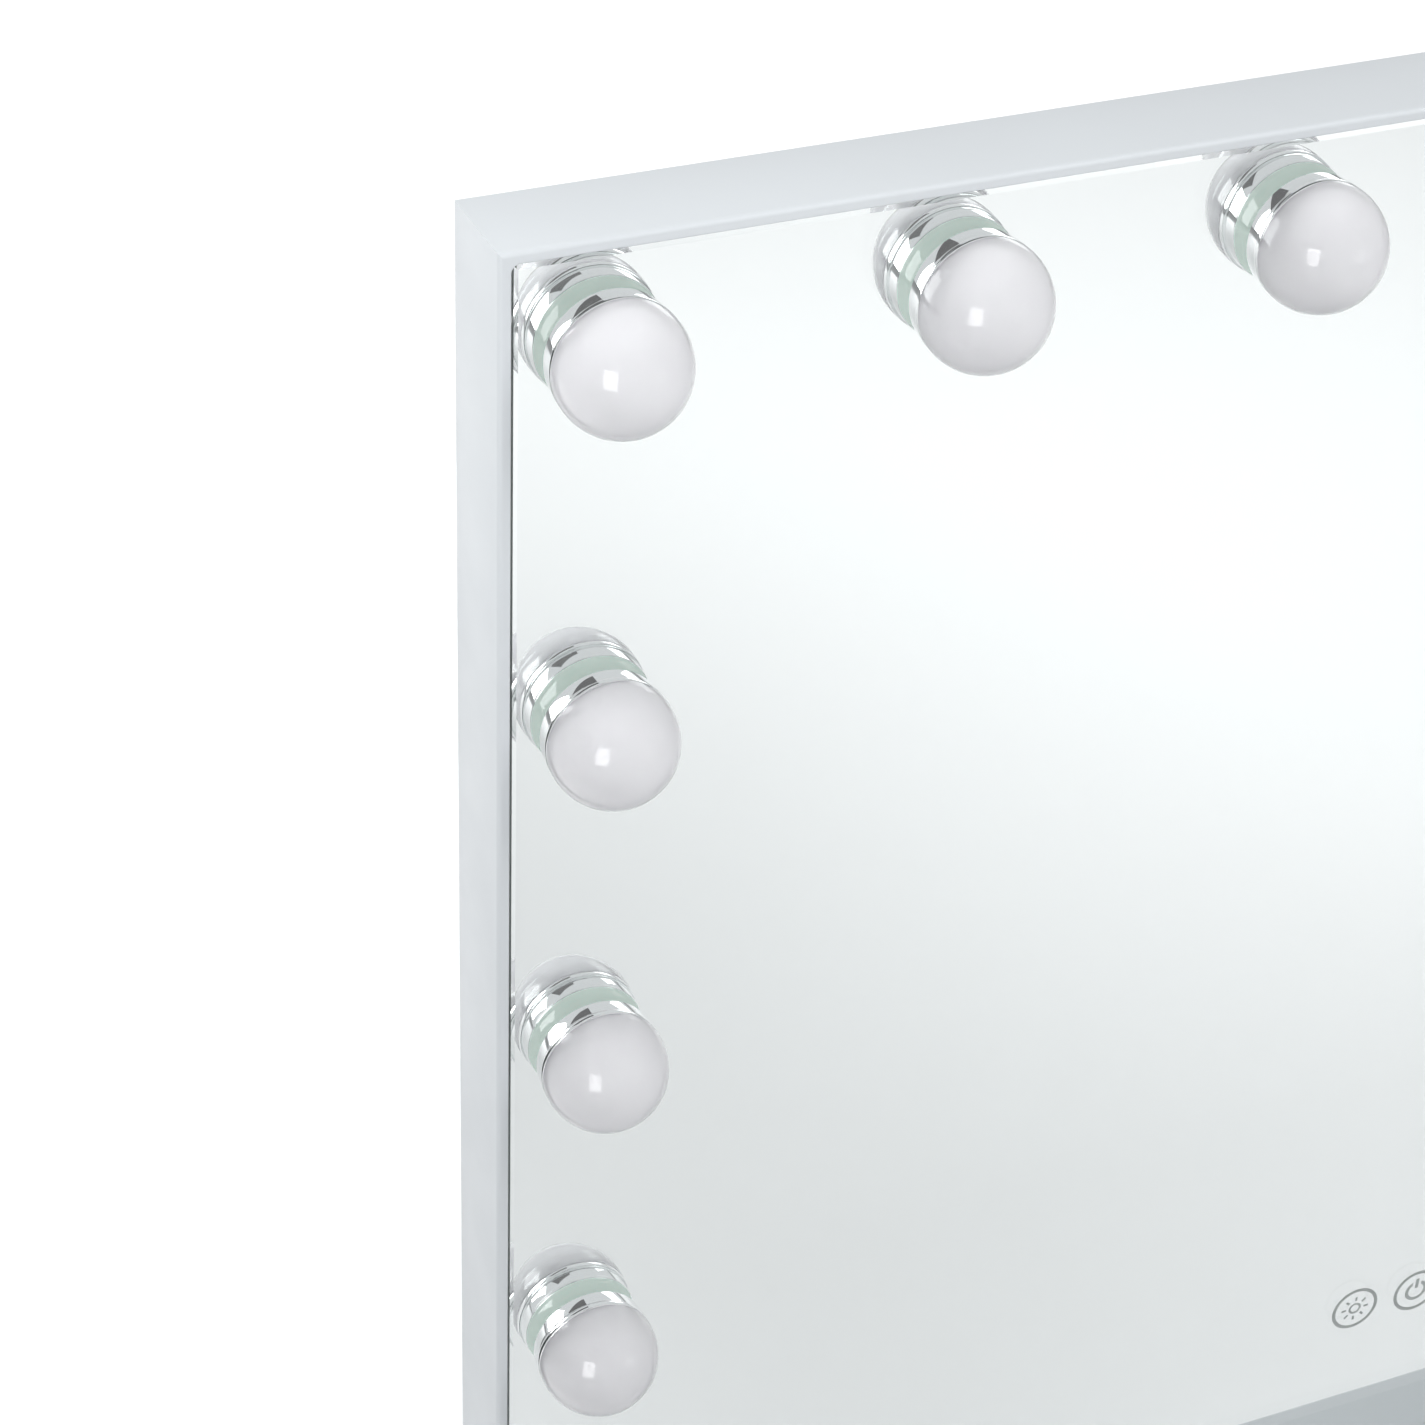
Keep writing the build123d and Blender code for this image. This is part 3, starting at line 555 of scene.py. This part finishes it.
# %% Hardware finishes
def zinc():
    """Bright zinc plate with a faint grain."""
    steel = new_finish("zinc_plated_steel", (0.62, 0.63, 0.64), 0.32, metallic=1.0)
    tint(steel, noise(steel, 220.0, 4.0), (0.56, 0.57, 0.58), (0.68, 0.69, 0.70))
    vary(steel, "Roughness", noise(steel, 900.0, 3.0, stretch=(1, 1, 5)), 0.24, 0.42)
    return steel


def moulded(name, colour, roughness, grain=900.0, depth=0.02 * MM):
    """A moulded plastic, rubber or foam with a fine grain of the given depth."""
    plastic = new_finish(name, colour, roughness)
    vary(plastic, "Roughness", noise(plastic, 60.0, 3.0), roughness - 0.06, roughness + 0.08)
    bump(plastic, noise(plastic, grain, 2.0), depth, 0.5)
    return plastic


def solder_mask():
    """The green lacquer on a circuit board."""
    board = new_finish("solder_mask", (0.03, 0.16, 0.08), 0.35)
    tint(board, noise(board, 260.0, 1.0), (0.02, 0.12, 0.06), (0.04, 0.20, 0.10))
    vary(board, "Roughness", noise(board, 800.0), 0.28, 0.45)
    return board


finishes = {
    "frame_paint": frame_paint,
    "panel_paint": panel_paint,
    "zinc_steel": zinc(),
    "foam": moulded("closed_cell_foam", (0.045, 0.045, 0.048), 0.85, 1800.0, 0.15 * MM),
    "circuit_board": solder_mask(),
    "wire_cover": moulded("red_wire_cover", (0.55, 0.03, 0.025), 0.40),
    "black_plastic": moulded("textured_black", (0.022, 0.022, 0.024), 0.45, 1400.0, 0.03 * MM),
    "washer_nylon": moulded("white_nylon", (0.75, 0.74, 0.70), 0.40),
    "foot_rubber": moulded("black_rubber", (0.028, 0.028, 0.03), 0.75, 1600.0, 0.05 * MM),
}
slot_of = {part["node"]: part["material_slot"] for part in frame["record"]["subparts"]}
for node, slot_name in slot_of.items():
    if slot_name in finishes and not frame["nodes"][node].hide_render:
        wear(frame["nodes"][node], finishes[slot_name])
print("finished parts:", sum(1 for s in slot_of.values() if s in finishes))

# %% [markdown]
# ## Floor
#
# The mirror looks down at the floor in front of it, so most of the glass shows nothing but floor. A plain
# white floor would leave the glass blank. The floor is pale paper with a painted shade that deepens softly
# towards a spot in front of the mirror's left foot, and the reflection turns that painted shade into the slow
# diagonal shade that makes glass look like glass. The paper ends 2.6 m out, where the pale sky takes over.
# The painted shade is a Gradient texture on Object coordinates: its sphere falls from 1 at the centre to 0
# at a distance of 1, and a Mapping node sets where and how large it is.

# %% Floor
# painted shade on the floor: where its darker spot lies, how wide it is, and its darkest colour
SHADE_CENTRE, SHADE_RADIUS = (-0.35, -0.41), 0.63
PAPER_COLOUR, SHADE_PAINT_COLOUR = (0.93, 0.935, 0.94), (0.585, 0.59, 0.595)
REACH = 2.6
floor_paper = new_finish("pale_paper", PAPER_COLOUR, 0.9)
vary(floor_paper, "Roughness", noise(floor_paper, 3.0), 0.85, 0.95)


def paint_floor_shade(material, centre, radius, edge, middle):
    """Paints shade on the floor: blends the base colour from edge to middle inside a round soft spot."""
    nodes, links = material.node_tree.nodes, material.node_tree.links
    place, mapping = nodes.new("ShaderNodeTexCoord"), nodes.new("ShaderNodeMapping")
    mapping.vector_type = "TEXTURE"
    mapping.inputs["Location"].default_value = (*centre, 0)
    mapping.inputs["Scale"].default_value = (radius, radius, radius)
    spot = nodes.new("ShaderNodeTexGradient")
    spot.gradient_type = "SPHERICAL"
    links.new(place.outputs["Object"], mapping.inputs["Vector"])
    links.new(mapping.outputs["Vector"], spot.inputs["Vector"])
    tint(material, spot.outputs["Fac"], edge, middle, 0.0, 0.9)
    material.node_tree.nodes["Color Ramp"].color_ramp.interpolation = "EASE"


paint_floor_shade(floor_paper, SHADE_CENTRE, SHADE_RADIUS, PAPER_COLOUR, SHADE_PAINT_COLOUR)
corners = [[(x, y, 0) for x in (-REACH, REACH)] for y in (-REACH, REACH)]
floor_mesh = grid_mesh("floor", np.array(corners))
floor = piece_from("floor", floor_mesh)
if floor.data.polygons[0].normal.z < 0:
    floor.data.flip_normals()
wear(floor, floor_paper)
print("floor laid")

# %% [markdown]
# ## Studio light
#
# Chrome and glossy domes show the studio as much as themselves, so it has two kinds of lamp. Two boxes
# are meant to be seen: a tall bright one to the left makes the small highlight on every globe, and a
# faint one to the right makes a soft second glow. The others only give light. They are hidden from
# reflections, so two of them can stand close to the upper left corner, where they make the light fall off
# along the frame, and one can hang low behind the mirror, where it whitens the floor without reaching the
# top rail. The sky shows pale but lights matt surfaces less, which keeps the shading soft but not flat. A
# dark card above the camera is the usual trick that gives chrome its dark edge beside a highlight.

# %% Lamps
def facing(azimuth, elevation, distance):
    """The point at a distance from the corner bulb, and the direction to it. Azimuth 0 is straight in front
    of the mirror and grows towards +X, and elevation is above the horizon, both in degrees."""
    a, e = math.radians(azimuth), math.radians(elevation)
    direction = Vector((math.sin(a) * math.cos(e), -math.cos(a) * math.cos(e), math.sin(e)))
    return corner_bulb + direction * distance, direction


def soft_box(name, azimuth, elevation, distance, width, height, power, seen=False):
    """A rectangular lamp that faces the corner bulb. Only a seen one shows in the chrome and the globes."""
    lamp = bpy.data.lights.new(name, "AREA")
    lamp.shape = "RECTANGLE"
    lamp.size, lamp.size_y = width, height
    lamp.energy = power
    made = bpy.data.objects.new(name, lamp)
    made.location, direction = facing(azimuth, elevation, distance)
    made.rotation_mode = "QUATERNION"
    made.rotation_quaternion = direction.to_track_quat("Z", "Y")
    made.visible_camera = False
    made.visible_glossy = made.visible_transmission = seen
    bpy.context.scene.collection.objects.link(made)
    return made


soft_box("left_box", -40, 7, 1.6, 0.62, 0.88, 10, seen=True)
soft_box("right_box", 41, 3, 1.8, 0.5, 0.5, 1.2, seen=True)
soft_box("near_side", -100, 36, 0.36, 0.3, 0.3, 1.1)
soft_box("near_front", -15, 27, 0.46, 0.3, 0.3, 1.0)
soft_box("front_right", 48, 40, 1.4, 0.8, 0.8, 16)
soft_box("behind", 180, 55, 2.4, 2.5, 1.5, 27)
soft_box("behind_left", -150, 40, 2.2, 1.5, 1.5, 11)
floor_box = soft_box("behind_floor", 165, 0, 1.15, 2.6, 1.8, 8)
floor_box.rotation_quaternion = (1, 0, 0, 0)    # this one looks straight down
print("lamps hung")

# %% Sky and card
CARD_AZIMUTHS, CARD_ELEVATIONS, CARD_DISTANCE = (-31, 8), (24, 39), 0.9
SKY_COLOUR, SKY_SHOWN, SKY_GIVEN = (0.97, 0.985, 1.0), 0.80, 0.17


def dim_as_source(world, colour, shown, given):
    """A plain sky that shows at one strength and lights matt surfaces at another."""
    nodes, links = world.node_tree.nodes, world.node_tree.links
    sky = nodes["Background"]
    sky.inputs["Color"].default_value = (*colour, 1.0)
    path, choose = nodes.new("ShaderNodeLightPath"), nodes.new("ShaderNodeMapRange")
    choose.inputs["To Min"].default_value = shown
    choose.inputs["To Max"].default_value = given
    links.new(path.outputs["Is Diffuse Ray"], choose.inputs["Value"])
    links.new(choose.outputs["Result"], sky.inputs["Strength"])


world = bpy.data.worlds.new("studio")
bpy.context.scene.world = world
world.use_nodes = True
dim_as_source(world, SKY_COLOUR, SKY_SHOWN, SKY_GIVEN)
card_grey = new_finish("card_grey", (0.02, 0.02, 0.02), 0.9, Emission_Strength=0.16)
card_shader = card_grey.node_tree.nodes["Principled BSDF"]
card_shader.inputs["Emission Color"].default_value = (1.0, 0.98, 1.0, 1.0)
card_corners = [[facing(azimuth, elevation, CARD_DISTANCE)[0] for azimuth in CARD_AZIMUTHS]
                for elevation in CARD_ELEVATIONS]
card = piece_from("flag_card", grid_mesh("flag_card", np.array(card_corners)))
wear(card, card_grey)
card.visible_camera = card.visible_diffuse = card.visible_shadow = False
bpy.context.scene.view_settings.view_transform = "Standard"
print("studio lit")
